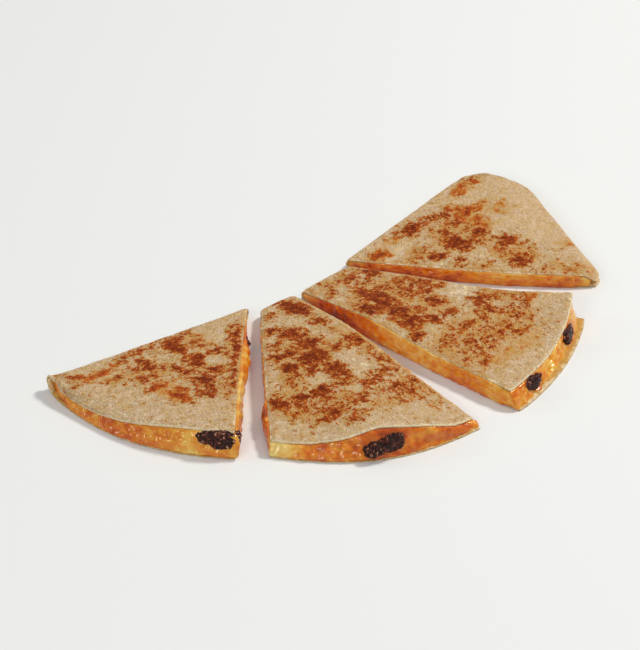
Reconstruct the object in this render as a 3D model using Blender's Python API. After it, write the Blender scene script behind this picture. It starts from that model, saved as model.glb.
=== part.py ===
"""A steak and cheese quesadilla: a flour tortilla folded over its filling and cut into four slices.

Metres, +Z up. The tortilla rests on Z = 0 with its fold along X and its round edge towards -Y.
The four slices have been drawn apart a little, and still keep the shape of the folded half-moon.

Each slice is worked out in its own plan: the fold lies on the X axis, the centre of the whole
tortilla is the origin, u runs across the slice from its left cut (0) to its right cut (1), and
v runs from the fold (0) to the round edge (1).
"""

import math
from collections import namedtuple

import bmesh
import bpy
import numpy as np
from mathutils import Vector, noise

MM = 0.001

TORTILLA = 1.5 * MM  # thickness of one layer
GAP = 0.3 * MM  # between the filling and what it touches
SHUT = 3.5 * MM  # height of two layers pressed together
PINCH = 0.08  # length in v over which the layers close
ROUNDED = 0.07  # length in u over which a slice's corner is rounded off
CHEESE_SET = 1.0 * MM  # how far the cheese stops short of the lower layer's edge
LIFT = 0.25 * MM  # extra room under the uneven upper layer
LOOP_END = 0.1  # where the open end of the fold lies in u, in from the tip of the half-moon
FACET = 9.0 * MM  # length of a facet along the round edge

FOLD_FROM, FOLD_TO = 0.44, 0.60  # where the bend lies along a strip of tortilla
LAYER_STEPS = (0.0, 0.16, 0.32, 0.48, 0.64, 0.8, 0.93, 1.0)  # in v
FOLD_STEPS, CHEESE_RISE = 4, 4

# A cut is (x where it leaves the fold, its angle from the fold's left end), in mm and degrees.
# reach, corners, setback and bow are in mm: the round edge's radius, how far it is drawn in at
# each cut, how far the upper layer stops short of it, and the sideways curve of each cut.
# heights are rows from the fold to the round edge, each from left to right, in mm.
# pinch is the v at which the layers are pressed together, from left to right.
# bulge is how far the cheese swells out at the left cut, the right cut and the round edge, in mm.
Slice = namedtuple("Slice", "turn shift left right reach corners heights setback bow pinch bulge")

SLICES = {
    "1": Slice(
        turn=-9, shift=(0.5, 24.5), left=None, right=(-20, 54), reach=(126.5, 129, 125.5), corners=(0, 0),
        heights=((10, 7.5, 6.5), (9, 9, 8), (8.5, 9.5, 10.5), (9, 6, 8, 12, 12.5)),
        setback=(6, 5, 4.6, 4.5, 4), bow=(0, -1), pinch=(1.3, 1.3), bulge=(0, 3, 1.2),
    ),
    "2": Slice(
        turn=-6, shift=(11.5, 20), left=(-27, 56), right=(-10, 93), reach=(127.5, 132.5, 129), corners=(0, 0),
        heights=((6, 6.5, 7), (9, 10, 11), (9.5, 11, 8), (8, 7.8, 8.5, 11, 14, 13.2, 10.8, 6.8, 4)),
        setback=(3, 3.5, 5, 5.5, 6.5, 5, 3.5, 3, 5), bow=(-0.5, -1.5), pinch=(1.3, 1.3), bulge=(1.5, 0.8, 1.0),
    ),
    "3": Slice(
        turn=1, shift=(9, 21.5), left=(-1, 93), right=(27.5, 117.2), reach=(132, 130, 129.5), corners=(0, 0),
        heights=((6, 6.5, 6.5), (11, 9.5, 8.5), (9.5, 10, 9.5), (9.5, 8.5, 7.5, 11.5, 14.4)),
        setback=(5.5, 6.4, 6.5, 5.5, 6), bow=(-2, -1.5), pinch=(1.3, 1.3), bulge=(0.8, 0.8, 0.8),
    ),
    "4": Slice(
        turn=10, shift=(17.5, 23), left=(24, 119), right=None, reach=(133.6, 128, 128.5, 132, 119), corners=(3.5, 0),
        heights=((5.5, 6.2, 5.5), (7, 8, 6.5), (7, 9, 7), (7, 6, 5)),
        setback=(0, 2, 0), bow=(-4, 0), pinch=(1.02, 1.02, 0.98), bulge=(0.8, 0, 0.5),
    ),
}
MIDDLE = (10.82, -33.05)  # the middle of the spread slices, from the centre of the whole tortilla, in mm

# A strip of steak lies in a slice at (u, v), its middle at a height in mm, with its length,
# width and thickness in mm, turned by degrees from the fold's direction, its right end tipped up.
Steak = namedtuple("Steak", "slice place height size turn tip seed")

STEAKS = {
    "steak_1": Steak("1", (0.925, 0.955), 6.3, (19, 8.6, 8), -38, 0, 3),
    "steak_2": Steak("1", (1.0, 0.22), 3.7, (8, 6, 3.6), 54, 0, 5),
    "steak_3": Steak("2", (0.52, 0.97), 5.8, (20, 8.5, 7.6), -8, 8, 8),
    "steak_4": Steak("3", (0.21, 0.965), 4.4, (13, 7.5, 4.8), 8, 0, 11),
    "steak_5": Steak("3", (0.705, 0.96), 5.2, (11, 8, 6.4), 24, 0, 14),
}
STEAK_LUMPS = 0.12  # how uneven a strip of steak is, as a share of its size

COLOURS = {  # base colour, roughness
    "tortilla": ((0.62, 0.45, 0.27), 0.75),
    "cheese": ((0.68, 0.24, 0.03), 0.30),
    "steak": ((0.06, 0.022, 0.014), 0.40),
}


def smooth(t):
    t = np.clip(t, 0.0, 1.0)
    return t * t * (3.0 - 2.0 * t)


def spline(values, t):
    """A smooth curve through equally spaced values, read at t from 0 to 1."""
    values = [np.asarray(v, float) + np.zeros_like(t) for v in values]
    spans = len(values) - 1
    first, last = 2 * values[0] - values[1], 2 * values[-1] - values[-2]
    knots = np.stack([first, *values, last])
    t = np.clip(t, 0.0, 1.0) * spans
    i = np.minimum(t.astype(int), spans - 1)
    a, b, c, d = (np.take_along_axis(knots, i[None] + k, 0)[0] for k in range(4))
    f = t - i
    return b + 0.5 * f * ((c - a) + f * ((2 * a - 5 * b + 4 * c - d) + f * (3 * (b - c) + d - a)))


class Plan:
    """The geometry of one slice: where its sheet of tortilla and its filling lie."""

    def __init__(self, piece):
        self.piece = piece
        self.radii = [r * MM for r in piece.reach]
        first, last = self.radius(np.array([0.0, 1.0]))
        self.start_x, self.start_angle = self.cut(piece.left, first, (-first, 0.0))
        self.end_x, self.end_angle = self.cut(piece.right, last, (last, math.pi))
        self.arc = (self.end_angle - self.start_angle) * self.radii[1]

    @staticmethod
    def cut(line, radius, tip):
        """The x at which a cut leaves the fold and its angle at the round edge, or the fold's tip."""
        if line is None:
            return tip
        x, angle = line[0] * MM, math.radians(line[1])
        along = x * math.cos(angle)
        length = along + math.sqrt(along**2 - x**2 + radius**2)
        return x, math.atan2(length * math.sin(angle), length * math.cos(angle) - x)

    def radius(self, u):
        """How far the round edge lies from the middle of the whole tortilla, across u."""
        left, right = (np.clip(1.0 - t / ROUNDED, 0.0, 1.0) ** 2 for t in (u, 1.0 - u))
        drawn_in = (left * self.piece.corners[0] + right * self.piece.corners[1]) * MM
        return spline(self.radii, u) - drawn_in

    def column(self, u):
        """The x of the fold, the direction to the round edge and the distance to it, across u."""
        share = u
        if self.piece.left is None:
            share = u**2
        if self.piece.right is None:
            share = 1.0 - (1.0 - u) ** 2
        angle = self.start_angle + (self.end_angle - self.start_angle) * u
        radius = self.radius(u)
        fold = self.start_x + (self.end_x - self.start_x) * share
        dx, dy = -radius * np.cos(angle) - fold, -radius * np.sin(angle)
        length = np.hypot(dx, dy)
        return fold, dx / length, dy / length, length

    def height(self, u, v):
        """The height of the slice's upper face above the table."""
        rows = [spline(row, u) * MM for row in self.piece.heights]
        shut = smooth((v - spline(self.piece.pinch, u)) / PINCH + 1.0)
        return spline(rows, v) * (1.0 - shut) + SHUT * shut

    def point(self, u, distance, z):
        """The point at a distance from the fold along the column u, moved by the cuts' bow."""
        fold, dx, dy, length = self.column(u)
        left, right = self.piece.bow
        t = distance / length
        bow = (left + (right - left) * u) * MM * 4.0 * t * (1.0 - t)
        return np.stack([fold + dx * distance - dy * bow, dy * distance + dx * bow, z], -1)

    def fold_centre(self, u):
        """The height of the fold's middle, and its distance from the fold's outer edge."""
        dy = self.column(u)[2]
        middle = self.height(u, np.zeros_like(u)) / 2.0
        return middle, middle / -dy

    def strip(self, u, s):
        """The middle of the sheet along one strip of tortilla: upper layer, bend, lower layer."""
        _, _, dy, length = self.column(u)
        middle, centre = self.fold_centre(u)
        radius = middle - TORTILLA / 2.0
        upper = np.clip(1.0 - s / FOLD_FROM, 0.0, 1.0)
        lower = np.clip((s - FOLD_TO) / (1.0 - FOLD_TO), 0.0, 1.0)
        bend = np.clip((s - FOLD_FROM) / (FOLD_TO - FOLD_FROM), 0.0, 1.0) * math.pi
        setback = spline(self.piece.setback, u) * MM
        run = upper * (length - setback - centre) + lower * (length - centre)
        top = self.height(u, upper) - TORTILLA / 2.0
        z = np.where(s < FOLD_FROM, top, middle + radius * np.cos(bend))
        return self.point(u, centre + run + radius * np.sin(bend) / dy, z)

    def beside(self, u, s, out):
        """A point at the distance out from the middle of the sheet, positive away from the filling."""
        step = 1e-4
        along_u = self.strip(u + step, s) - self.strip(u - step, s)
        along_s = self.strip(u, s + step) - self.strip(u, s - step)
        normal = np.cross(along_u, along_s)
        normal /= np.linalg.norm(normal, axis=-1, keepdims=True)
        return self.strip(u, s) + normal * out[:, None]

    def tortilla(self, u, s, w):
        """A point of the tortilla, w through its thickness from the filling (0) outwards (1)."""
        return self.beside(u, s, (w - 0.5) * TORTILLA)

    def cheese(self, u, v, w):
        """A point of the filling, w from the lower layer (0) to the upper one (1)."""
        _, dx, dy, length = self.column(u)
        middle = self.fold_centre(u)[0]
        last = np.minimum(spline(self.piece.pinch, u) - 0.8 * PINCH, 1.0)
        room = np.full_like(u, -TORTILLA / 2.0 - GAP)
        lower = self.beside(u, FOLD_TO + (1.0 - FOLD_TO) * v * (last - CHEESE_SET / length), room)
        lift = LIFT * smooth(4.0 * v) * (1.0 + 10.0 * (1.0 - last))
        upper = self.beside(u, FOLD_FROM * (1.0 - v * last), room - lift)
        rise = (1.0 - np.cos(math.pi * w)) / 2.0
        swell = np.sin(math.pi * w)
        left, right, edge = (b * MM for b in self.piece.bulge)
        bend = TORTILLA + GAP - middle
        outward = (np.where(v < 1.0, 0.0, edge) - np.where(v > 0.0, 0.0, bend / dy)) * swell
        sideways = (np.where(u < 1.0, 0.0, right) - np.where(u > 0.0, 0.0, left)) * smooth(5.0 * v) * swell
        swollen = np.stack([dx * outward - dy * sideways, dy * outward + dx * sideways, 0.0 * w], -1)
        return lower + (upper - lower) * rise[:, None] + swollen

    def placed(self, points):
        """Points of the slice's plan, moved to where the slice lies in the whole."""
        turn = math.radians(self.piece.turn)
        shift_x, shift_y = ((s - m) * MM for s, m in zip(self.piece.shift, MIDDLE))
        x, y, z = np.moveaxis(points, -1, 0)
        placed_x = x * math.cos(turn) - y * math.sin(turn) + shift_x
        placed_y = x * math.sin(turn) + y * math.cos(turn) + shift_y
        return np.stack([placed_x, placed_y, z], -1)

    def columns(self):
        """Steps across a slice. The outer end of a fold is cut off just short of its point."""
        steps = max(8, round(self.arc / FACET))
        first = LOOP_END if self.piece.left is None else 0.0
        last = 1.0 - LOOP_END if self.piece.right is None else 1.0
        return np.linspace(first, last, steps + 1)

    def filled_columns(self):
        """The steps that hold filling, which stops one short of the open end of the fold."""
        columns = self.columns()
        first = 1 if self.piece.left is None else 0
        last = len(columns) - (1 if self.piece.right is None else 0)
        return columns[first:last]


def block(across, along, through):
    """A bmesh box whose faces are cut up at the given steps along X, Y and Z."""
    bm = bmesh.new()
    steps = (across, along, through)
    bmesh.ops.create_cube(bm, size=1.0)
    for vert in bm.verts:
        vert.co = [step[0] if co < 0.0 else step[-1] for step, co in zip(steps, vert.co)]
    for axis, step in enumerate(steps):
        normal = Vector((0.0, 0.0, 0.0))
        normal[axis] = 1.0
        for place in step[1:-1]:
            geom = bm.verts[:] + bm.edges[:] + bm.faces[:]
            bmesh.ops.bisect_plane(bm, geom=geom, dist=1e-6, plane_co=normal * place, plane_no=normal)
    return bm


def shape_block(bm, shape):
    """Move every vertex of a block to the point that shape gives for its coordinates."""
    steps = np.array([v.co for v in bm.verts], dtype=float)
    for vert, point in zip(bm.verts, shape(*steps.T)):
        vert.co = point
    if bm.calc_volume(signed=True) < 0.0:
        bmesh.ops.reverse_faces(bm, faces=bm.faces)


def material(kind):
    colour, roughness = COLOURS[kind]
    made = bpy.data.materials.new(kind)
    made.use_nodes = True
    shader = made.node_tree.nodes["Principled BSDF"]
    shader.inputs["Base Color"].default_value = (*colour, 1.0)
    shader.inputs["Roughness"].default_value = roughness
    shader.inputs["Metallic"].default_value = 0.0
    return made


def add_object(name, bm, surface, parent):
    mesh = bpy.data.meshes.new(name)
    bm.to_mesh(mesh)
    bm.free()
    mesh.shade_smooth()
    mesh.set_sharp_from_angle(angle=math.radians(40))
    mesh.materials.append(surface)
    piece = bpy.data.objects.new(name, mesh)
    piece.parent = parent
    bpy.context.collection.objects.link(piece)
    return piece


def add_tortilla(name, plan, surface, parent):
    """One slice's tortilla: a single sheet, from the upper layer round the fold to the lower one."""
    layer = np.array(LAYER_STEPS)
    upper = FOLD_FROM * (1.0 - layer[::-1])
    bend = np.linspace(FOLD_FROM, FOLD_TO, FOLD_STEPS + 1)
    lower = FOLD_TO + (1.0 - FOLD_TO) * layer
    bm = block(plan.columns(), np.concatenate([upper, bend[1:], lower[1:]]), (0.0, 1.0))
    shape_block(bm, lambda u, s, w: plan.placed(plan.tortilla(u, s, w)))
    return add_object(name, bm, surface, parent)


def add_cheese(name, plan, surface, parent):
    """One slice's melted cheese, from the bend out to the round edge."""
    through = np.linspace(0.0, 1.0, CHEESE_RISE + 1)
    bm = block(plan.filled_columns(), LAYER_STEPS, through)
    shape_block(bm, lambda u, v, w: plan.placed(plan.cheese(u, v, w)))
    return add_object(name, bm, surface, parent)


def add_chunk(name, steak, plan, grown, surface, parent):
    """A strip of steak in its slice, grown on every side by the given distance."""
    bm = bmesh.new()
    bmesh.ops.create_icosphere(bm, subdivisions=3, radius=1.0)
    offset = Vector((steak.seed * 7.3, 0.0, 0.0))
    for vert in bm.verts:
        direction = vert.co.copy()
        lumps = 1.0 + STEAK_LUMPS * noise.noise(direction * 1.7 + offset)
        for axis, size in enumerate(steak.size):
            boxy = math.copysign(abs(direction[axis]) ** 0.7, direction[axis])
            vert.co[axis] = boxy * (size * MM / 2.0 * lumps + grown)
    u, v = np.array([steak.place[0]]), np.array([steak.place[1]])
    middle = plan.fold_centre(u)[1]
    distance = middle + v * (plan.column(u)[3] - middle)
    place = plan.placed(plan.point(u, distance, np.array([steak.height * MM])))[0]
    piece = add_object(name, bm, surface, parent)
    piece.location = place
    piece.rotation_euler = (0.0, -math.radians(steak.tip), math.radians(steak.turn + plan.piece.turn))
    return piece


def cut_out(body, cutter):
    """Cut the room for a piece of steak out of the cheese."""
    cutter.hide_render = True
    cutter.display_type = "WIRE"
    cut = body.modifiers.new(cutter.name, "BOOLEAN")
    cut.operation = "DIFFERENCE"
    cut.solver = "EXACT"
    cut.object = cutter


def build():
    for old in list(bpy.data.objects):
        bpy.data.objects.remove(old)
    whole = bpy.data.objects.new("quesadilla", None)
    bpy.context.collection.objects.link(whole)
    surfaces = {kind: material(kind) for kind in COLOURS}
    for number, piece in SLICES.items():
        plan = Plan(piece)
        add_tortilla(f"tortilla_{number}", plan, surfaces["tortilla"], whole)
        cheese = add_cheese(f"cheese_{number}", plan, surfaces["cheese"], whole)
        for name, steak in STEAKS.items():
            if steak.slice == number:
                add_chunk(name, steak, plan, 0.0, surfaces["steak"], whole)
                cutter = add_chunk(f"room_for_{name}", steak, plan, GAP, surfaces["steak"], whole)
                cut_out(cheese, cutter)


build()
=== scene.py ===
"""The looks of a steak and cheese quesadilla, cut into four slices that keep the half-moon's shape.

Each CAD node is replaced by a finer piece of the same form: toasted tortillas with their browned
patches and blisters, melted cheese that swells out at the cuts, and charred strips of steak.
"""

import math
from collections import namedtuple

import bmesh
import bpy
import numpy as np
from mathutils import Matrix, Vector


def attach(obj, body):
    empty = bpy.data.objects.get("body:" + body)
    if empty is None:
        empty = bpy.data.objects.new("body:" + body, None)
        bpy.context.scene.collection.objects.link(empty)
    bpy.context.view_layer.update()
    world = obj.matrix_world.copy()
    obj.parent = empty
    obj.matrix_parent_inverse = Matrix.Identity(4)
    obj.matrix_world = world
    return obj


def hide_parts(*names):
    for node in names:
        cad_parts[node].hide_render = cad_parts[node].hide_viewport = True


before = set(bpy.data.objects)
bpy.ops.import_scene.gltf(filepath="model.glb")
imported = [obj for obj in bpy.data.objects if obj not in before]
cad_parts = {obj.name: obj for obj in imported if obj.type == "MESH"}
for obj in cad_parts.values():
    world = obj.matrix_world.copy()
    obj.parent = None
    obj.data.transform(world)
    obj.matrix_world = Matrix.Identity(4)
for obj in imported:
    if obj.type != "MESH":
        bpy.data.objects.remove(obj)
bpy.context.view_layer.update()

MM = 0.001

# ---------------------------------------------------------------------------------------------
# The form, as in the CAD model
# ---------------------------------------------------------------------------------------------

TORTILLA = 1.5 * MM
STUCK = 0.04 * MM  # the melted cheese sticks to the tortilla, where the CAD model keeps a gap
SHUT = 3.5 * MM
PINCH = 0.08
ROUNDED = 0.07
LOOP_END = 0.1
FACET = 9.0 * MM
FOLD_FROM, FOLD_TO = 0.44, 0.60

Slice = namedtuple("Slice", "turn shift left right reach corners heights setback bow pinch bulge")

SLICES = {
    "1": Slice(
        turn=-9, shift=(0.5, 24.5), left=None, right=(-20, 54), reach=(126.5, 129, 125.5), corners=(0, 0),
        heights=((10, 7.5, 6.5), (9, 9, 8), (8.5, 9.5, 10.5), (9, 6, 8, 12, 12.5)),
        setback=(6, 5, 4.6, 4.5, 4), bow=(0, -1), pinch=(1.3, 1.3), bulge=(0, 3, 1.2),
    ),
    "2": Slice(
        turn=-6, shift=(11.5, 20), left=(-27, 56), right=(-10, 93), reach=(127.5, 132.5, 129), corners=(0, 0),
        heights=((6, 6.5, 7), (9, 10, 11), (9.5, 11, 8), (8, 7.8, 8.5, 11, 14, 13.2, 10.8, 6.8, 4)),
        setback=(3, 3.5, 5, 5.5, 6.5, 5, 3.5, 3, 5), bow=(-0.5, -1.5), pinch=(1.3, 1.3), bulge=(1.5, 0.8, 1.0),
    ),
    "3": Slice(
        turn=1, shift=(9, 21.5), left=(-1, 93), right=(27.5, 117.2), reach=(132, 130, 129.5), corners=(0, 0),
        heights=((6, 6.5, 6.5), (11, 9.5, 8.5), (9.5, 10, 9.5), (9.5, 8.5, 7.5, 11.5, 14.4)),
        setback=(5.5, 6.4, 6.5, 5.5, 6), bow=(-2, -1.5), pinch=(1.3, 1.3), bulge=(0.8, 0.8, 0.8),
    ),
    "4": Slice(
        turn=10, shift=(17.5, 23), left=(24, 119), right=None, reach=(133.6, 128, 128.5, 132, 119), corners=(3.5, 0),
        heights=((5.5, 6.2, 5.5), (7, 8, 6.5), (7, 9, 7), (7, 6, 5)),
        setback=(0, 2, 0), bow=(-4, 0), pinch=(1.02, 1.02, 0.98), bulge=(0.8, 0, 0.5),
    ),
}
MIDDLE = (10.82, -33.05)

Steak = namedtuple("Steak", "slice place height size turn tip seed")

STEAKS = {
    "steak_1": Steak("1", (0.93, 0.95), 7.2, (20, 8.6, 9), -38, 0, 3),
    "steak_2": Steak("1", (1.0, 0.22), 3.7, (8, 6, 3.6), 54, 0, 5),
    "steak_3": Steak("2", (0.52, 0.97), 5.8, (20, 8.5, 7.6), -8, 8, 8),
    "steak_4": Steak("3", (0.20, 0.955), 4.8, (13, 7.5, 4.8), 8, 0, 11),
    "steak_5": Steak("3", (0.72, 0.95), 6.0, (11, 8, 6.4), 24, 0, 14),
}

# ---------------------------------------------------------------------------------------------
# Looks: sizes in mm unless a name says otherwise
# ---------------------------------------------------------------------------------------------

SHEET_STEP = 0.66  # spacing of the tortilla's points
INNER_EVERY = 3  # the hidden inner side of a tortilla keeps every third point
EDGE_REACH = 2.4  # how far from its edges the tortilla thins out
EDGE_THIN, LOWER_THIN = 0.4, 0.75  # by how much, in the upper layer and in the lower one
RIM_PALE_AND_PAINTED_LIGHT = 1.1  # how much less browned the tortilla is at its very edge, and so how much lighter it is painted there to offset the shade at the rim
DRAWN_BACK = 0.06  # how far back the upper layer's corner lies at the open end, across slice 1
FLARE = 1.6  # how far the bend opens out at its open end
STAIN = 3.5  # how far the melted cheese stains the tortilla from a cut
CHEESE_STEP = 0.5
CHEESE_ROWS = 22
# How thick each strip of steak is along its length, from left to right, as a share of the CAD
# model's, and where it lines up: 1 at the top, 0 in the middle.
Lobes = namedtuple("Lobes", "thickness align")

LOBES = {
    "steak_1": Lobes((0.45, 0.8, 1.1, 1.15, 0.9), 0.8), "steak_2": Lobes((1, 1), 0),
    "steak_3": Lobes((0.7, 0.85, 0.68, 1.0, 1.02, 0.9), 0), "steak_4": Lobes((0.45, 1.1, 1.1, 0.5), 0.5),
    "steak_5": Lobes((1.2, 1.05, 0.35), 0.7),
}
LAP_OUT, LAP_UP = 0.55, 0.8  # how far the cheese laps over the edges of the layers at the cuts
FULLNESS = 0.6  # how full the swollen cheese is: 1 is a round bulge, less is flatter
CAP_EVERY = 6  # the hidden top and bottom of the cheese keep every sixth point
LOWEST = 0.02 * MM  # the food rests on the table: no point lies lower

# Toasted patches on the upper side: x and y of the middle, half its length and half its width,
# its turn in degrees, in the object's own frame, and how strong it may become, up to 1.
Patch = namedtuple("Patch", "x y length width turn most", defaults=(0, 1))

BROWNED = {
    "1": (
        Patch(-78.1, 56.5, 5, 8), Patch(-74.6, 61.5, 6, 2.5, -8), Patch(-78.6, 40, 4, 6.5), Patch(-66.1, 41.5, 4, 2.5),
        Patch(-87.6, 25, 5, 5.5), Patch(-105.1, 23, 3, 6), Patch(-100.1, 27, 1.5, 4), Patch(-106.6, 35.5, 5, 2.5),
        Patch(-98.1, 50, 3, 3), Patch(-96.6, 54.5, 2.5, 5), Patch(-106.1, 46.5, 2.5, 2),
        Patch(-103.1, 53, 2, 1.4), Patch(-89.1, 39.5, 2.5, 4), Patch(-92.6, 16.5, 6, 4), Patch(-78.6, 27.5, 4, 3),
        Patch(-67.6, 27, 10, 2.6, 44), Patch(-77.6, 15.5, 9, 2, 44), Patch(-57.1, 38, 7, 2, 44),
        Patch(-50.6, 45, 6, 3, 40), Patch(-69.6, 50, 3, 3), Patch(-128.1, 65.5, 4.5, 1.6, -58),
        Patch(-118.6, 61, 6.5, 1.5), Patch(-101.1, 64, 8, 1.6, 8), Patch(-86.6, 63, 1.8, 1.2), Patch(-105.6, 43.5, 2.5, 1.3),
    ),
    "2": (
        Patch(-17.6, 43, 5, 9.5), Patch(-29.1, 46.5, 1.4, 1.7), Patch(-38.1, 35, 3.5, 2.4), Patch(-33.6, 26, 5, 5.5),
        Patch(-19.1, 24.5, 3.2, 4), Patch(-47.6, 25, 4, 3.4), Patch(-49.6, 15.5, 7, 4), Patch(-35.6, 15.5, 6, 4.6),
        Patch(-41.1, 4.5, 8.5, 6), Patch(-26.6, 3.5, 5, 3), Patch(-17.6, 2, 4.5, 3.5), Patch(-49.6, -2.5, 3.5, 3),
        Patch(-40.6, -10, 4.5, 10), Patch(-54.6, 5, 3.5, 4.5), Patch(-57.6, -18, 4.8, 5), Patch(-67.6, -15, 4.5, 4),
        Patch(-76.6, -11, 4, 5), Patch(-46.6, -20, 4, 2.4), Patch(-36.1, -26, 5, 3.2), Patch(-23.1, -24, 6.5, 2.2, -8),
        Patch(-18.6, -15.5, 3.2, 3), Patch(-64.6, -33.5, 6, 3.4), Patch(-48.6, -34, 5.5, 2.6, 18),
        Patch(-29.1, -35.5, 6.5, 2.2, -6), Patch(-24.6, -41, 3.6, 1.6), Patch(-18.1, -35.5, 3, 2.6),
        Patch(-60.1, -43, 3.4, 2),
    ),
    "3": (
        Patch(2.9, 40, 2.5, 2.3), Patch(18.9, 43, 4, 2.4), Patch(29.4, 41.5, 4.6, 5.2), Patch(20.9, 36, 3, 1.6),
        Patch(13.9, 21.5, 6, 12), Patch(3.9, 16, 6, 7), Patch(28.4, 25.5, 9.5, 4.6, 0, 0.05), Patch(35.4, 15, 8, 5.6, 0, 0.15),
        Patch(44.9, 11, 6, 2.6), Patch(11.9, 5, 6.5, 6), Patch(11.4, -5, 6, 6), Patch(20.4, -9, 4, 3.6),
        Patch(31.4, 1.5, 4, 4.2), Patch(22.4, 0.2, 4.5, 1.4), Patch(28.9, -10, 3.5, 3), Patch(47.9, -12, 5.5, 3.6),
        Patch(44.4, -20, 3.4, 6), Patch(31, -24, 4, 2), Patch(31, -30.5, 4, 1.1), Patch(37, -36.5, 4.5, 2),
        Patch(28.4, -39.5, 2.5, 1.2), Patch(19.9, -33, 1.7, 2.4), Patch(25.4, -35.5, 1.6, 1.2), Patch(10.4, -26, 2, 1.2),
        Patch(41.9, -43, 2.6, 1.3), Patch(57.4, -24, 6.5, 0.9, 18), Patch(60.4, -28.5, 6, 0.9, 14),
        Patch(71.4, -21.5, 3, 0.9, 20), Patch(12.4, -49.2, 2.6, 1.6), Patch(4.4, -14, 3.5, 2.4),
    ),
    "4": (
        Patch(43.4, 50.5, 4.6, 3), Patch(70.4, 56.5, 7, 4.6), Patch(62.4, 57, 3, 1.4, 30), Patch(93.4, 56, 3.3, 2.4),
        Patch(120.7, 66.3, 2.8, 1.9, 25), Patch(77.4, 43, 3.2, 3), Patch(75.9, 31, 5.5, 7.5), Patch(61.9, 30.5, 4.2, 3.6),
        Patch(89.4, 31.5, 3.6, 5), Patch(82.9, 25.5, 2.8, 2), Patch(95.9, 39, 3.5, 2.2), Patch(96.4, 47.5, 3, 2.4),
        Patch(102.9, 45.5, 2.2, 1, 30), Patch(67.4, 19.5, 4, 1.8), Patch(92.9, 16.5, 5, 5.4), Patch(86.4, 2, 4.6, 4.6),
        Patch(86, 54, 6, 2, -40, 0.3), Patch(100, 51, 7, 1.8, -30, 0.3),
        Patch(88, 45, 5, 2.4, 20, 0.3), Patch(112, 66, 5, 2, 25, 0.1), Patch(92, 36, 5, 6, 0, 0),
    ),
}
GOLDEN = {
    "1": (Patch(-67.6, 52, 6, 8), Patch(-61.6, 33, 7, 7), Patch(-85.6, 30, 9, 10), Patch(-83.6, 13, 10, 3, 44),
          Patch(-113.6, 53, 8, 4), Patch(-97.6, 46, 8, 6), Patch(-105.6, 30, 5, 8)),
    "2": (Patch(-71.6, -16, 11, 11), Patch(-18.6, -2, 4, 20), Patch(-61.6, -30, 14, 8), Patch(-33.6, -44, 18, 5, -4),
          Patch(-23.6, -38, 9, 8), Patch(-41.6, 10, 16, 12), Patch(-59.6, -2, 7, 8), Patch(-24.6, -55.5, 3, 2)),
    "3": (Patch(20.4, 22, 20, 14), Patch(58.4, -14, 7, 8), Patch(28.4, -30, 26, 14), Patch(14.4, -44, 14, 7), Patch(46.4, -36, 10, 6),
          Patch(24.4, 2, 13, 10), Patch(28.4, -50, 20, 4, 6, 0.3), Patch(14.4, 46, 12, 4)),
    "4": (Patch(53.4, 56, 3.6, 1.6, 20), Patch(80.4, 55, 5, 2.4), Patch(115.4, 65, 7, 2.4, 22), Patch(82.4, 38, 16, 14),
          Patch(90.4, 10, 10, 14), Patch(71.4, 10, 5, 3), Patch(93.4, -12.5, 7, 3), Patch(111.4, 39, 5, 5), Patch(100.4, -20, 9, 3, -30, 0.6), Patch(113, -3, 4, 3),
          Patch(56.4, 38, 8, 5)),
}
PALE = {
    "1": (Patch(-72.6, 37, 4, 3), Patch(-60.6, 49, 5, 4), Patch(-93.6, 31, 3, 4)),
    "2": (Patch(-39.1, 13.5, 3, 2), Patch(-46.1, 28, 3, 2.4), Patch(-52.6, -11, 4, 2.6),
          Patch(-28.6, -16, 4.2, 2.6), Patch(-30.1, -3.5, 2.6, 2), Patch(-23.6, 27, 2, 4.5), Patch(-24.1, 10, 4, 3.2),
          Patch(-45.6, -26.5, 5, 2.8)),
    "3": (Patch(46.4, 1.5, 9, 7), Patch(2.9, 5.5, 3, 2.5), Patch(21.9, 6, 3, 3), Patch(24.4, -5, 4, 3), Patch(41.4, 5, 5, 3),
          Patch(31.4, -17, 6, 3, 30), Patch(3.4, 32, 5, 3)),
    "4": (Patch(111.5, -17, 12, 3.4, 71), Patch(75.4, 19, 7, 4, 20), Patch(53.4, 45, 6, 6), Patch(68.4, 43, 5, 3, 30), Patch(92.4, 24, 5, 2, 40)),
}

# Places where the toasting leaves few speckles.
CALM = {
    "1": (Patch(-118, 62, 12, 8), Patch(-105, 28, 7, 12)),
    "2": (Patch(-64, -56, 16, 6, -30),),
    "3": (Patch(30, -51, 22, 6, 8), Patch(68, -31, 9, 9)),
    "4": (Patch(112, 46, 22, 26), Patch(112, -22, 8, 9), Patch(118, 12, 14, 20), Patch(50, 50, 12, 9)),
}
# How browned the tortilla is, and its sRGB colour there: where it leans to pink, and to ochre.
TOASTED = (
    (-1.0, (231, 200, 164)), (-0.3, (222, 182, 136)), (-0.1, (218, 163, 102)), (-0.015, (212, 131, 62)),
    (0.07, (210, 112, 44)), (0.22, (194, 88, 28)), (0.5, (168, 66, 14)), (1.0, (124, 42, 6)),
)
TOASTED_OCHRE = (
    (-1.0, (226, 193, 144)), (-0.3, (216, 174, 114)), (-0.1, (214, 160, 84)), (-0.015, (213, 138, 50)),
    (0.07, (212, 118, 36)), (0.22, (196, 94, 22)), (0.5, (170, 70, 10)), (1.0, (124, 44, 3)),
)
RIM_PAINTED_LIGHTER = (255, 230, 184)  # the floury round edge, painted lighter to offset the shade under it
GOLD = (216, 158, 82)  # where it is lightly toasted or stained by the cheese
INSIDE_PAINTED_LIGHTER = (246, 192, 96)  # the side that holds the cheese: stained yellow, and painted lighter to offset the shade inside the fold

# How the cheese changes along the left cut, the right cut (from the fold out) and the round edge
# (from left to right). Tints run from -1, pale yellow, through 0, orange, to 1, a dark red-orange.
Melt = namedtuple("Melt", "left right edge")

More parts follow.
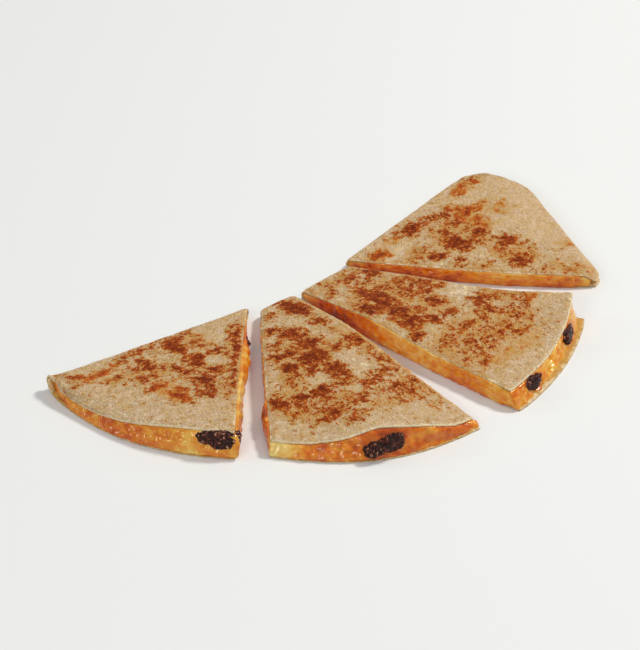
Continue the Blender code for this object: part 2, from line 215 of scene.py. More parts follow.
CHEESE_SETS = {  # how far the cheese stops short of the lower layer's round edge, from left to right
    "1": (0.3, 0.3), "2": (0.3, 0.3, 0.3, 0.7, 1.0), "3": (0.9, 0.7, 0.7, 0.9), "4": (0.3, 0.3),
}
HOLLOWS = {  # how far the cheese sinks in between the layers there, 0 being straight from rim to rim
    "1": (0, 0), "2": (0, 0, 0.2, 0.8, 1.2), "3": (0.6, 1.4, 1.8, 2.6, 3.2), "4": (0, 0),
}
TINTS = {
    "1": Melt((0, 0), (-0.3, 0.2, 0.6, 0.2, -0.1, 0, -0.5, -0.4, -0.1, 0.1, 0),
              (-0.3, -0.3, -0.2, -0.1, 0.25, 0.2, -0.05, -0.05, -0.45, -0.1, -0.1)),
    "2": Melt((-0.2, 0, 0.1, 0.2, 0.2, 0.3, 0.2, 0.3, 0.8, 0.5, -0.2), (0, 0.2, -0.2, 0.1, -0.3, 0.2, 0, 0.2, -0.2, 0),
              (-0.9, -0.5, 0.25, 0.05, 0.15, 0.5, 0.4, 0.05, 0.2, 0.35, 0)),
    "3": Melt((-0.1, 0.5, 0.65, 0.2, -0.35, -0.5, -0.4, -0.1, 0, -0.15, -0.3), (0, 0.2, -0.2, 0.1, 0.3, -0.2, 0, 0.2, -0.2, 0),
              (-0.1, 0, 0.1, -0.2, -0.45, -0.4, -0.2, 0, 0, -0.45, -0.6)),
    "4": Melt((0.1, 0.3, 0.4, 0.3, 0.3, 0, -0.2, -0.1, 0, 0.2, -0.3), (0, 0), (0, 0.1, -0.1, 0)),
}
SWELLS = {  # how far the cheese stands out of each side, as a share of the CAD model's bulge
    "1": Melt((0, 0), (0.3, 0.4, 0.6, 1.2, 1.45, 1.0, 0.9, 0.8, 0.9, 0.8, 0.7), (1, 0.6, 1, 0.8, 1.4, 1.2, 0.8, 1.3, 1)),
    "2": Melt((0.2, 0.2, 0.3, 0.2, 0.3, 0.2, 0.2, 0.5, 1.9, 1.2, 0.3), (1, 1), (0.6, 1.2, 0.8, 1.3, 1, 0.8, 1.4, 1)),
    "3": Melt((0.5, 1, 0.9, 1.4, 1.1, 1.7, 1.3, 2.0, 1.5), (1, 1, 1, 0.2, -1.5, -4.5), (1.4, 1.1, 0.5, 1.2, 0.6, 1.4, 0.7, 1.3, 0.8, -1)),
    "4": Melt((0.5, 1.2, 0.8, 1.4, 1.0, 1.5, 1.1, 1.4, 0.6), (1, 1), (1, 1)),
}
CHEESE = (  # sRGB colours along the tints
    (-1.0, (242, 206, 122)), (-0.55, (236, 176, 70)), (-0.2, (228, 144, 36)),
    (0.15, (218, 114, 20)), (0.55, (194, 78, 14)), (1.0, (134, 44, 12)),
)

CAMERA_ELEVATION, CAMERA_TURN = 33.43, -43.0  # degrees
CAMERA_DISTANCE = 1.738
CAMERA_LENS = 211.8


def smooth(t):
    t = np.clip(t, 0.0, 1.0)
    return t * t * (3.0 - 2.0 * t)


def spline(values, t):
    """A smooth curve through equally spaced values, read at t from 0 to 1."""
    values = [np.asarray(v, float) + np.zeros_like(t) for v in values]
    spans = len(values) - 1
    first, last = 2 * values[0] - values[1], 2 * values[-1] - values[-2]
    knots = np.stack([first, *values, last])
    t = np.clip(t, 0.0, 1.0) * spans
    i = np.minimum(t.astype(int), spans - 1)
    a, b, c, d = (np.take_along_axis(knots, i[None] + k, 0)[0] for k in range(4))
    f = t - i
    return b + 0.5 * f * ((c - a) + f * ((2 * a - 5 * b + 4 * c - d) + f * (3 * (b - c) + d - a)))


DIRECTIONS = np.random.default_rng(7).normal(size=(512, 3))
DIRECTIONS /= np.linalg.norm(DIRECTIONS, axis=1, keepdims=True)


def noise(points, size, seed=0):
    """Smooth noise of about -1 to 1, with features of the given size."""
    p = points / size + seed * 19.19
    cell = np.floor(p).astype(np.int64)
    f = p - cell
    ease = f * f * f * (f * (f * 6.0 - 15.0) + 10.0)
    total = np.zeros(len(p))
    for corner in np.ndindex(2, 2, 2):
        key = (cell + corner) * (73856093, 19349663, 83492791)
        pick = np.bitwise_xor.reduce(key, axis=1) % len(DIRECTIONS)
        weight = np.prod(np.where(corner, ease, 1.0 - ease), axis=1)
        total += weight * np.einsum("ij,ij->i", DIRECTIONS[pick], f - corner)
    return total * 1.6


def bubbles(points, size, seed=0):
    """Distance to the nearest of some scattered points about size apart: 0 at one, about 1 between."""
    p = points / size
    cell = np.floor(p).astype(np.int64)
    nearest = np.full(len(p), 9.0)
    for corner in np.ndindex(3, 3, 3):
        near = cell + corner - 1
        pick = np.bitwise_xor.reduce((near + seed) * (73856093, 19349663, 83492791), axis=1) % len(DIRECTIONS)
        middle = near + 0.5 + 0.42 * DIRECTIONS[pick]
        nearest = np.minimum(nearest, np.linalg.norm(p - middle, axis=1))
    return nearest


def fractal(points, size, octaves, seed=0, fade=0.55):
    total, share = 0.0, 1.0
    for octave in range(octaves):
        total = total + share * noise(points, size / 2.03**octave, seed + octave)
        share *= fade
    return total


class Plan:
    """The geometry of one slice: where its sheet of tortilla and its filling lie."""

    def __init__(self, number):
        self.number = number
        self.piece = piece = SLICES[number]
        self.radii = [r * MM for r in piece.reach]
        first, last = self.radius(np.array([0.0, 1.0]))
        self.start_x, self.start_angle = self.cut(piece.left, first, (-first, 0.0))
        self.end_x, self.end_angle = self.cut(piece.right, last, (last, math.pi))
        self.arc = (self.end_angle - self.start_angle) * self.radii[1]
        self.first = LOOP_END if piece.left is None else 0.0
        self.last = 1.0 - LOOP_END if piece.right is None else 1.0
        facet = (self.last - self.first) / max(8, round(self.arc / FACET))
        self.filled_from = self.first + (facet if piece.left is None else 0.0)
        self.filled_to = self.last - (facet if piece.right is None else 0.0)

    @staticmethod
    def cut(line, radius, tip):
        if line is None:
            return tip
        x, angle = line[0] * MM, math.radians(line[1])
        along = x * math.cos(angle)
        length = along + math.sqrt(along**2 - x**2 + radius**2)
        return x, math.atan2(length * math.sin(angle), length * math.cos(angle) - x)

    def radius(self, u):
        left, right = (np.clip(1.0 - t / ROUNDED, 0.0, 1.0) ** 2 for t in (u, 1.0 - u))
        drawn_in = (left * self.piece.corners[0] + right * self.piece.corners[1]) * MM
        return spline(self.radii, u) - drawn_in

    def column(self, u):
        share = u
        if self.piece.left is None:
            share = u**2
        if self.piece.right is None:
            share = 1.0 - (1.0 - u) ** 2
        angle = self.start_angle + (self.end_angle - self.start_angle) * u
        radius = self.radius(u)
        fold = self.start_x + (self.end_x - self.start_x) * share
        dx, dy = -radius * np.cos(angle) - fold, -radius * np.sin(angle)
        length = np.hypot(dx, dy)
        return fold, dx / length, dy / length, length

    def shut(self, u, v):
        return smooth((v - spline(self.piece.pinch, u)) / PINCH + 1.0)

    def height(self, u, v):
        rows = [spline(row, u) * MM for row in self.piece.heights]
        shut = self.shut(u, v)
        return spline(rows, v) * (1.0 - shut) + SHUT * shut

    def point(self, u, distance, z):
        fold, dx, dy, length = self.column(u)
        left, right = self.piece.bow
        t = distance / length
        bow = (left + (right - left) * u) * MM * 4.0 * t * (1.0 - t)
        return np.stack([fold + dx * distance - dy * bow, dy * distance + dx * bow, z], -1)

    def fold_centre(self, u):
        dy = self.column(u)[2]
        middle = self.height(u, np.zeros_like(u)) / 2.0
        return middle, middle / -dy

    def strip(self, u, s):
        _, _, dy, length = self.column(u)
        middle, centre = self.fold_centre(u)
        radius = middle - TORTILLA / 2.0
        upper = np.clip(1.0 - s / FOLD_FROM, 0.0, 1.0)
        lower = np.clip((s - FOLD_TO) / (1.0 - FOLD_TO), 0.0, 1.0)
        bend = np.clip((s - FOLD_FROM) / (FOLD_TO - FOLD_FROM), 0.0, 1.0) * math.pi
        setback = spline(self.piece.setback, u) * MM
        run = upper * (length - setback - centre) + lower * (length - centre)
        top = self.height(u, upper) - TORTILLA / 2.0
        z = np.where(s < FOLD_FROM, top, middle + radius * np.cos(bend))
        return self.point(u, centre + run + radius * np.sin(bend) / dy, z)

    def beside(self, u, s, out):
        step = 1e-4
        along_u = self.strip(u + step, s) - self.strip(u - step, s)
        along_s = self.strip(u, s + step) - self.strip(u, s - step)
        normal = np.cross(along_u, along_s)
        normal /= np.linalg.norm(normal, axis=-1, keepdims=True)
        return self.strip(u, s) + normal * np.asarray(out)[..., None]

    def cheese(self, u, v, w):
        _, dx, dy, length = self.column(u)
        middle = self.fold_centre(u)[0]
        last = np.minimum(spline(self.piece.pinch, u) - 0.55 * PINCH, 1.0)
        room = np.full_like(u, -TORTILLA / 2.0 - STUCK)
        lower = self.beside(u, FOLD_TO + (1.0 - FOLD_TO) * v * (last - spline(CHEESE_SETS[self.number], u) * MM / length), room)
        upper = self.beside(u, FOLD_FROM * (1.0 - v * last), room)
        rise = (1.0 - np.cos(math.pi * w)) / 2.0
        inwards = rise ** (1.0 / (1.0 + spline(HOLLOWS[self.number], u)))
        rise = np.stack([inwards, inwards, rise], -1)
        swell = np.sin(math.pi * w) ** FULLNESS
        left, right, edge = (
            b * MM * spline(factor, across)
            for b, factor, across in zip(self.piece.bulge, SWELLS[self.number], (v, v, u))
        )
        bend = TORTILLA + STUCK - middle
        outward = (np.where(v < 1.0, 0.0, edge) - np.where(v > 0.0, 0.0, bend / dy)) * swell
        sideways = np.where(u < 1.0, 0.0, right) - np.where(u > 0.0, 0.0, left)
        over, under = smooth(4.0 * w - 3.0), smooth(1.0 - 4.0 * w)
        lap = MM * smooth(12.0 * v) * smooth(12.0 * (1.0 - v)) * np.where(u < 1.0, 1.0, smooth(right / MM))
        side = np.where(u < 1.0, 0.0, 1.0) - np.where(u > 0.0, 0.0, 1.0)
        sideways = sideways * smooth(5.0 * v) * swell + side * lap * LAP_OUT * (over + under)
        upwards = np.abs(side) * lap * LAP_UP * (over - under)
        swollen = np.stack([dx * outward - dy * sideways, dy * outward + dx * sideways, upwards], -1)
        sag = np.stack([0.0 * w, 0.0 * w, LOWER_THIN * MM * (1.0 - w) ** 3], -1) * smooth(8.0 * v)[..., None]
        return lower + (upper - lower) * rise + swollen - sag

    def placed(self, points):
        turn = math.radians(self.piece.turn)
        shift_x, shift_y = ((s - m) * MM for s, m in zip(self.piece.shift, MIDDLE))
        x, y, z = np.moveaxis(points, -1, 0)
        placed_x = x * math.cos(turn) - y * math.sin(turn) + shift_x
        placed_y = x * math.sin(turn) + y * math.cos(turn) + shift_y
        return np.stack([placed_x, placed_y, z], -1)


# ---------------------------------------------------------------------------------------------
# Meshes
# ---------------------------------------------------------------------------------------------


def border(columns, rows):
    """The places round the edge of a grid, each once."""
    return (
        [(i, 0) for i in range(columns - 1)]
        + [(columns - 1, j) for j in range(rows - 1)]
        + [(i, rows - 1) for i in range(columns - 1, 0, -1)]
        + [(0, j) for j in range(rows - 1, 0, -1)]
    )


def round_edge(grid):
    """The values of a grid round its edge, in a row."""
    return np.array([grid[place] for place in border(*grid.shape[:2])])


def cap(grid, row, start):
    """Faces that fill the ring row with a grid, whose own edge lies on every n-th point of the row."""
    columns, rows = grid.shape[:2]
    ids = np.zeros((columns, rows), int)
    ids[1:-1, 1:-1] = start + np.arange((columns - 2) * (rows - 2)).reshape(columns - 2, rows - 2)
    edge = border(columns, rows)
    every = len(row) // len(edge)
    between = {}
    for n, place in enumerate(edge):
        ids[place] = row[n * every]
        following = row[(n + 1) * every % len(row)]
        between[row[n * every], following] = row[n * every + 1 : (n + 1) * every]
    faces = []
    for i in range(columns - 1):
        for j in range(rows - 1):
            corners = (ids[i, j], ids[i + 1, j], ids[i + 1, j + 1], ids[i, j + 1])
            face = []
            for a, b in zip(corners, corners[1:] + corners[:1]):
                face.append(a)
                face.extend(between.get((a, b), ()))
            faces.append(face)
    return faces


def shell(rings, first, last):
    """A closed mesh: rings of points one after another, with a grid to close each end."""
    ids = np.arange(rings.shape[0] * rings.shape[1]).reshape(rings.shape[:2])
    faces = cap(first, ids[0].tolist(), ids.size)
    inside = [g[1:-1, 1:-1].reshape(-1, g.shape[-1]) for g in (first, last)]
    closing = cap(last, ids[-1].tolist(), ids.size + len(inside[0]))
    faces += [face[::-1] for face in closing]
    for a, b in zip(ids[:-1], ids[1:]):
        faces += np.stack([a, b, np.roll(b, -1), np.roll(a, -1)], 1).tolist()
    return np.concatenate([rings.reshape(-1, rings.shape[-1]), *inside]), faces


def add_piece(name, node, points, faces, surface, values=None):
    """A finished piece that stands for a CAD node. values are its attributes, one for each point."""
    mesh = bpy.data.meshes.new(name)
    points = np.maximum(points, (-np.inf, -np.inf, LOWEST))
    mesh.from_pydata(points.tolist(), [], faces)
    for key, value in (values or {}).items():
        mesh.attributes.new(key, "FLOAT", "POINT").data.foreach_set("value", value.astype(np.float32))
    bm = bmesh.new()
    bm.from_mesh(mesh)
    if bm.calc_volume(signed=True) < 0.0:
        bmesh.ops.reverse_faces(bm, faces=bm.faces)
    bm.to_mesh(mesh)
    bm.free()
    mesh.shade_smooth()
    mesh.materials.append(surface)
    piece = bpy.data.objects.new(name, mesh)
    bpy.context.scene.collection.objects.link(piece)
    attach(piece, "root")
    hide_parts(node)
    return piece


def normals_of(grid, wrap=False):
    """Unit normals of a grid of points, from the differences between neighbours."""
    if wrap:
        along = np.roll(grid, -1, 1) - np.roll(grid, 1, 1)
    else:
        along = np.gradient(grid, axis=1)
    across = np.gradient(grid, axis=0)
    normal = np.cross(along, across)
    return normal / np.maximum(np.linalg.norm(normal, axis=-1, keepdims=True), 1e-12)


# ---------------------------------------------------------------------------------------------
# Tortilla
# ---------------------------------------------------------------------------------------------


def patches(place, marks):
    """How far inside the nearest of some patches a place lies: 1 in a middle, 0 at an edge, below 0 outside."""
    depth = np.full(len(place), -1.6)
    for mark in marks:
        turn = math.radians(mark.turn)
        x, y = place[:, 0] - mark.x, place[:, 1] - mark.y
        along = (x * math.cos(turn) + y * math.sin(turn)) / mark.length
        across = (y * math.cos(turn) - x * math.sin(turn)) / mark.width
        size = min(mark.length, mark.width)
        reach = (1.0 - np.hypot(along, across)) * size
        depth = np.maximum(depth, np.clip(reach / 2.5, -1.6, mark.most))
    return depth


def toasting(number, place, top):
    """How browned the tortilla is at a place in mm, brown above 0, and how golden it is."""
    flat = place * (1.0, 1.0, 3.0)
    warp = np.stack([fractal(flat, 5.0, 3, 31), fractal(flat, 5.0, 3, 37)], -1) * 2.2
    here = place[:, :2] + warp
    mottle = fractal(flat, 3.2, 4, 41, 0.8) * (1.0 - 0.45 * smooth(patches(place, CALM[number]) + 0.3))
    shown = (
        np.maximum(patches(here, BROWNED[number]) * 0.5 + 0.12, patches(here, GOLDEN[number]) * 0.24 - 0.28)
        - 0.36 * np.clip(patches(here, PALE[number]) + 0.3, 0.0, 1.0)
    )
    hidden = 0.55 * fractal(flat, 26.0, 2, 53) - 0.15
    gold = np.where(top, smooth(patches(here, GOLDEN[number]) + 0.6), 0.3)
    return np.where(top, shown, hidden) + 0.54 * mottle, gold * smooth(0.6 + 0.6 * noise(flat, 4.0, 43))


def to_edge(grid):
    """How far each point of a grid is from the nearest of the grid's edges."""
    nearest = np.full(grid.shape[:2], np.inf)
    for axis in (0, 1):
        steps = np.linalg.norm(np.diff(grid, axis=axis), axis=-1)
        start = np.insert(np.cumsum(steps, axis), 0, 0.0, axis)
        whole = np.take(start, [-1], axis)
        nearest = np.minimum(nearest, np.minimum(start, whole - start))
    return nearest


def to_side(grid, side):
    """How far each point of a grid is from the grid's first (0) or last (-1) column."""
    return np.linalg.norm(grid - grid[[side]], axis=-1)


def tortilla(number):
    plan = Plan(number)
    columns = 1 + INNER_EVERY * round(plan.arc / MM / SHEET_STEP / INNER_EVERY)
    layer = round(plan.radii[0] / MM / SHEET_STEP)
    bend = round(14.0 / SHEET_STEP)
    steps = INNER_EVERY * round((2 * layer + bend) / INNER_EVERY)
    u = np.linspace(plan.first, plan.last, columns)
    knots = np.array([0, layer, layer + bend, 2 * layer + bend]) / (2 * layer + bend)
    s = np.interp(np.linspace(0, 1, steps + 1), knots, [0.0, FOLD_FROM, FOLD_TO, 1.0])
    u, s = (g.ravel() for g in np.meshgrid(u, s, indexing="ij"))
    if plan.piece.left is None:
        u = u + DRAWN_BACK * np.exp(-((s / 0.3) ** 2)) * np.clip(1.0 - (u - plan.first) / 0.3, 0.0, 1.0) ** 2
    shape = (columns, steps + 1)
    middle = plan.placed(plan.strip(u, s)) / MM
    top = s < (FOLD_FROM + FOLD_TO) / 2
    toast, gold = toasting(number, middle, top)
    flat = middle * (1.0, 1.0, 3.0)
    waves = 0.16 * fractal(flat, 11.0, 2, 61) + 0.08 * fractal(flat, 2.2, 2, 67)
    relief = waves + 0.10 * np.clip(toast, -0.6, 0.8)
    under = smooth((s - FOLD_TO) / 0.02)
    relief = relief * (1.0 - under) + under * np.minimum(relief - 0.10, 0.0)
    if plan.piece.left is None:
        open_end = np.clip(1.0 - (u - plan.first) / 0.1, 0.0, 1.0) ** 2
        flare = FLARE * open_end * np.exp(-(((s - 0.51) / 0.05) ** 2))
    else:
        flare = 0.0
    thin = smooth(1.0 - to_edge(middle.reshape(*shape, 3)).ravel() / EDGE_REACH)
    lifted = relief - EDGE_THIN * thin * (1.0 - under) + flare
    outer = plan.placed(plan.beside(u, s, TORTILLA / 2.0 + lifted * MM)).reshape(*shape, 3)
    inside = LOWER_THIN * thin * under - TORTILLA / MM / 2.0 + flare
    inner = plan.placed(plan.beside(u, s, inside * MM)).reshape(*shape, 3)
    sides = [side for side, cut in ((0, plan.piece.left), (-1, plan.piece.right)) if cut is not None]
    knife = np.min([to_side(middle.reshape(*shape, 3), side).ravel() for side in sides], 0)
    stain = smooth(1.0 - knife / STAIN + 0.4 * noise(flat, 3.0, 47)) * smooth(0.5 + noise(flat, 7.0, 49))
    gold = np.maximum(np.maximum(gold, stain), 1.2 * thin * under)
    calm = 1.0 - 0.6 * smooth(patches(middle[:, :2], CALM[number]) + 0.3)
    pressed = plan.shut(u, np.clip(1.0 - s / FOLD_FROM, 0.0, 1.0)) * top
    toast, calm = toast + (-0.25 - toast) * 0.8 * pressed, calm * (1.0 - 0.7 * pressed)
    # The edges are paler: unbrowned flour, and painted lighter to offset the shade at the rim.
    toast = toast - RIM_PALE_AND_PAINTED_LIGHT * thin * thin * (0.35 + 0.65 * (1.0 - top))
    toast, gold, calm = toast.reshape(shape), gold.reshape(shape), calm.reshape(shape)
    flat = flat.reshape(*shape, 3)

    # the rim: ragged by a fraction of a millimetre, and rounded
    edge_out, edge_in = round_edge(outer), round_edge(inner)
    away = edge_out - round_edge(np.pad(outer[1:-1, 1:-1], ((1, 1), (1, 1), (0, 0)), "edge"))
    away -= (edge_out - edge_in) * (np.einsum("ij,ij->i", away, edge_out - edge_in)
                                    / np.einsum("ij,ij->i", edge_out - edge_in, edge_out - edge_in))[:, None]
    away /= np.linalg.norm(away, axis=-1, keepdims=True)
    where = round_edge(flat)
    side = np.array(border(*shape))[:, 0]
    knife = ((side == 0) & (plan.piece.left is not None)) | ((side == columns - 1) & (plan.piece.right is not None))
    ragged = (0.22 * noise(where, 3.0, 71) + 0.16 * noise(where, 1.1, 73))[:, None] * MM
    rings = []
    for w in (1.0, 0.88, 0.62, 0.36, 0.12, 0.0):
        round_off = 0.30 * math.sqrt(max(0.0, 1.0 - (2.0 * w - 1.0) ** 2)) * MM
        crumb = 0.10 * noise(where + w * 4.0, 0.9, 79)[:, None] * MM * (0.0 < w < 1.0)
        ring = edge_in + (edge_out - edge_in) * w + away * (ragged + round_off + crumb)
        cut = knife * math.sqrt(max(0.0, 1.0 - (2.0 * w - 1.0) ** 2))
        # Round edges: the outer rows are paler and the inner ones golden, as flour and cheese stain, and painted
        # lighter to offset the shade under the rim.
        values = (round_edge(toast) - np.where(knife, 0.3, 1.0 * (w > 0.3)), cut, round_edge(calm), np.maximum(round_edge(gold), 1.0 - 1.6 * w))
        rings.append(np.column_stack([ring, *values]))
    zero = np.zeros(shape)
    first = np.dstack([outer, toast, zero, calm, gold])
    # The inner side's gold above 1 gives it the inside colour, which is painted lighter to offset the shade inside the
    # fold.
    last = np.dstack([inner, toast - 0.5, zero, calm, gold + 1.0])[::INNER_EVERY, ::INNER_EVERY]
    points, faces = shell(np.array(rings), first, last)
    values = dict(zip(("toast", "cut", "calm", "gold"), points[:, 3:].T))
    add_piece(f"toasted_tortilla_{number}", f"tortilla_{number}", points[:, :3], faces,
              tortilla_surface, values)


# ---------------------------------------------------------------------------------------------
# Cheese
# ---------------------------------------------------------------------------------------------


def cheese(number):
    plan = Plan(number)
    columns = 1 + CAP_EVERY * round(plan.arc / MM / CHEESE_STEP / CAP_EVERY)
    rows = 1 + CAP_EVERY * round(plan.radii[0] / MM / CHEESE_STEP / CAP_EVERY)
    filled = np.linspace(plan.filled_from, plan.filled_to, columns)
    u, v = np.meshgrid(filled, np.linspace(0.0, 1.0, rows), indexing="ij")
    edge_u, edge_v = round_edge(u), round_edge(v)
    w = np.linspace(0.0, 1.0, CHEESE_ROWS + 1)
    uu, ww = np.meshgrid(edge_u, w)
    vv = np.meshgrid(edge_v, w)[0]
    base = plan.placed(plan.cheese(uu.ravel(), vv.ravel(), ww.ravel())).reshape(*uu.shape, 3)
    normal = normals_of(base, wrap=True)
    outward = base - base.reshape(-1, 3).mean(0)
    if np.einsum("ijk,ijk->", normal, outward) < 0.0:
        normal = -normal
    here = (base / MM).reshape(-1, 3)
    lumps = 0.75 * fractal(here, 4.2, 2, 83) + 0.22 * noise(here, 1.7, 89)
    crumbs = 0.4 * (0.5 - bubbles(here, 1.5, 105)) * smooth(0.5 + 1.2 * noise(here, 6.0, 107))
    creases = 0.3 * np.abs(noise(here, 2.6, 97)) ** 0.7
    strings = smooth(1.0 - np.abs(noise(here * (0.6, 0.6, 1.8), 3.4, 109)) / 0.1) * smooth(2.0 * noise(here, 9.0, 113))
    hold = np.sin(math.pi * np.clip(ww.ravel(), 0, 1)) ** 0.35
    visible = np.clip(vv.ravel() * 12.0, 0.0, 1.0)
    out = (lumps + crumbs - creases + 0.2 * strings + 0.15) * hold * visible * MM
    points = base + normal * out.reshape(ww.shape)[..., None]
    tints = TINTS[number]
    u_all, v_all = uu.ravel(), vv.ravel()
    tint = np.where(
        v_all >= 1.0, spline(tints.edge, u_all),
        np.where(u_all <= plan.filled_from, spline(tints.left, v_all), spline(tints.right, v_all)),
    )
    tint = tint + np.where(v_all < 1.0, 0.5, 0.0) * (0.45 - ww.ravel())
    tint = tint + 0.5 * noise(here, 5.0, 101) + 0.35 * noise(here * (0.7, 0.7, 1.6), 2.2, 103)
    tint = tint - 0.5 * crumbs - 0.7 * strings
    rings = np.dstack([points, tint.reshape(ww.shape)])
    coarse_u, coarse_v = u[::CAP_EVERY, ::CAP_EVERY], v[::CAP_EVERY, ::CAP_EVERY]
    ends = []
    for level in (0.0, 1.0):
        flat = plan.cheese(coarse_u.ravel(), coarse_v.ravel(), np.full(coarse_u.size, level))
        ends.append(np.dstack([plan.placed(flat).reshape(*coarse_u.shape, 3), np.zeros(coarse_u.shape)]))
    points, faces = shell(rings, *ends)
    add_piece(f"melted_cheese_{number}", f"cheese_{number}", points[:, :3], faces,
              cheese_surface, {"tint": points[:, 3]})


# ---------------------------------------------------------------------------------------------
# Steak
# ---------------------------------------------------------------------------------------------


def steak(name, strip):
    plan = Plan(strip.slice)
    bm = bmesh.new()
    bmesh.ops.create_icosphere(bm, subdivisions=6, radius=1.0)
    direction = np.array([v.co for v in bm.verts], float)
    faces = [[v.index for v in f.verts] for f in bm.faces]
    bm.free()
    boxy = np.sign(direction) * np.abs(direction) ** 0.6
    size = np.array(strip.size)
    lobes = LOBES[name]
    thickness = spline(lobes.thickness, boxy[:, 0] / 2.0 + 0.5)
    place = boxy * size / 2.0
    place[:, 1] *= 0.5 + 0.5 * thickness
    place[:, 2] = place[:, 2] * thickness + (1.0 - thickness) * lobes.align * size[2] / 2.0
    lumps = 0.10 * noise(direction * 1.7, 1.0, strip.seed) * size.min()
    grain = 0.30 * fractal(place * (0.6, 1.0, 1.0), 2.6, 3, strip.seed + 3)
    beads = 0.8 * (0.45 - bubbles(place * (0.8, 1.0, 1.0) + 0.25 * grain[:, None], 1.9, strip.seed))
    fibres = 0.10 * noise(place * (0.25, 1.6, 1.6), 0.8, strip.seed + 5)
    grain = grain + beads
    place = place + direction * (lumps + grain + fibres)[:, None]
    turn, tip = math.radians(strip.turn + plan.piece.turn), math.radians(strip.tip)
    x, y, z = place.T * MM
    x, z = x * math.cos(tip) - z * math.sin(tip), x * math.sin(tip) + z * math.cos(tip)
    u, v = np.array([strip.place[0]]), np.array([strip.place[1]])
    middle = plan.fold_centre(u)[1]
    distance = middle + v * (plan.column(u)[3] - middle)
    centre = plan.placed(plan.point(u, distance, np.array([strip.height * MM])))[0]
    turned = np.stack([x * math.cos(turn) - y * math.sin(turn), x * math.sin(turn) + y * math.cos(turn), z], -1)
    # The char values also paint light on the bead tops and shade in the hollows between them.
    add_piece(f"charred_{name}", name, turned + centre, faces, steak_surface, {"char_glints_and_shade": grain + fibres})


# ---------------------------------------------------------------------------------------------
# Surfaces
# ---------------------------------------------------------------------------------------------


def linear(colour):
    """A colour given as sRGB from 0 to 255, as linear light."""
    c = np.array(colour) / 255.0
    return (*np.where(c <= 0.04045, c / 12.92, ((c + 0.055) / 1.055) ** 2.4).tolist(), 1.0)


class Nodes:
    """Short names for building a material's nodes."""

    def __init__(self, name):
        self.made = bpy.data.materials.new(name)
        self.made.use_nodes = True
        self.tree = self.made.node_tree
        self.shader = self.tree.nodes["Principled BSDF"]
        self.object = self.add("ShaderNodeTexCoord").outputs["Object"]

    def add(self, kind, inputs=(), **settings):
        node = self.tree.nodes.new(kind)
        for key, value in settings.items():
            setattr(node, key, value)
        for key, value in dict(inputs).items():
            self.set(node.inputs[key], value)
        return node

    def set(self, socket, value):
        if isinstance(value, bpy.types.NodeSocket):
            self.tree.links.new(value, socket)
        else:
            socket.default_value = value

    def value(self, name):
        return self.add("ShaderNodeAttribute", attribute_name=name).outputs["Fac"]

    def noise(self, size, detail=2.0, roughness=0.5, stretch=None, distortion=0.0):
        """Noise from about 0 to 1, with features of the given size in mm."""
        vector = self.object
        if stretch:
            vector = self.add("ShaderNodeMapping", {"Vector": vector, "Scale": stretch}).outputs[0]
        inputs = {"Vector": vector, "Scale": 1.0 / (size * MM), "Detail": detail, "Roughness": roughness,
                  "Distortion": distortion}
        return self.add("ShaderNodeTexNoise", inputs).outputs["Fac"]

    def maths(self, operation, a, b=0.0, c=0.0, clamp=False):
        node = self.add("ShaderNodeMath", {0: a, 1: b, 2: c}, operation=operation)
        node.use_clamp = clamp
        return node.outputs[0]

    def add_scaled(self, base, extra, share, middle=0.5):
        """base plus extra's difference from its middle, times share."""
        return self.maths("MULTIPLY_ADD", self.maths("SUBTRACT", extra, middle), share, base)

    def ramp(self, value, stops, low=0.0, high=1.0):
        """A colour for each value: stops are (value, sRGB colour)."""
        place = self.add("ShaderNodeMapRange", {"Value": value, "From Min": low, "From Max": high}).outputs[0]
        node = self.add("ShaderNodeValToRGB", {"Fac": place})
        band = node.color_ramp
        while len(band.elements) < len(stops):
            band.elements.new(0.5)
        for element, (at, colour) in zip(band.elements, stops):
            element.position = (at - low) / (high - low)
            element.color = linear(colour)
        return node.outputs["Color"]

    def grey(self, value):
        return self.add("ShaderNodeCombineColor", {0: value, 1: value, 2: value}).outputs[0]

    def range(self, value, low, high, to_low=0.0, to_high=1.0, smooth=False):
        inputs = {"Value": value, "From Min": low, "From Max": high, "To Min": to_low, "To Max": to_high}
        node = self.add("ShaderNodeMapRange", inputs)
        node.interpolation_type = "SMOOTHSTEP" if smooth else "LINEAR"
        return node.outputs[0]

    def mix(self, share, a, b, blend="MIX"):
        node = self.add("ShaderNodeMix", data_type="RGBA", blend_type=blend)
        self.set(node.inputs[0], share)
        self.set(node.inputs[6], linear(a) if isinstance(a, tuple) else a)
        self.set(node.inputs[7], linear(b) if isinstance(b, tuple) else b)
        return node.outputs[2]

    def bump(self, height, distance, strength=1.0, normal=None):
        inputs = {"Height": height, "Distance": distance * MM, "Strength": strength}
        node = self.add("ShaderNodeBump", inputs)
        if normal:
            self.set(node.inputs["Normal"], normal)
        return node.outputs["Normal"]

    def finish(self, **sockets):
        for key, value in sockets.items():
            self.set(self.shader.inputs[key.replace("_", " ")], value)
        return self.made


